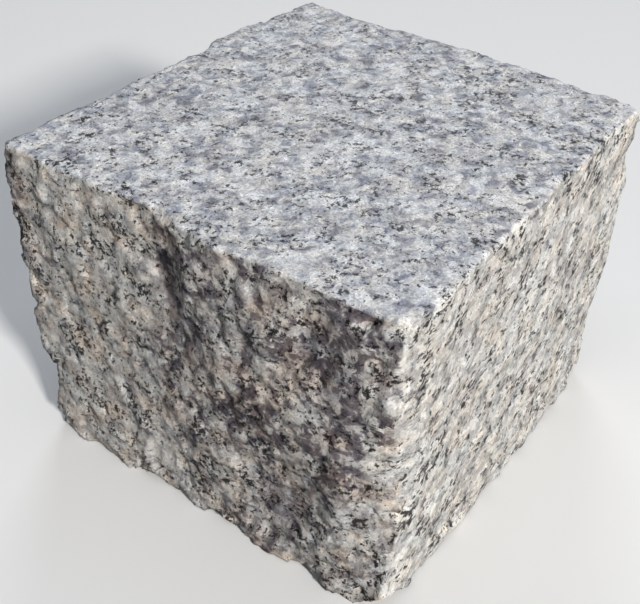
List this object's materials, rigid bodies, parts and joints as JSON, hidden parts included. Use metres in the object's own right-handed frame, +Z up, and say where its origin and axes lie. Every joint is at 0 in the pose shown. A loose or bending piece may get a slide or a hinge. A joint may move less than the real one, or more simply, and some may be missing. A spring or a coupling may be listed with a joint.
{
  "type": "granite sett",
  "caption": "Small block of split granite for paving and edging, with a flat flamed head, a flat sawn bed and rough cleft sides that run in ledges and hollows.",
  "frame": {"origin": "on the bed, at the middle of the stone's box", "axes": "+Z up from the bed to the head; -Y is the boldly ledged front side and +X is the flatter right-hand side"},
  "size_m": [0.1042, 0.11, 0.08],
  "materials": {
    "granite": "fine light grey granite with dark specks, flamed on the head and cleft on the sides"
  },
  "bodies": {
    "root": {"granite_sett": "granite"}
  },
  "joints": []
}
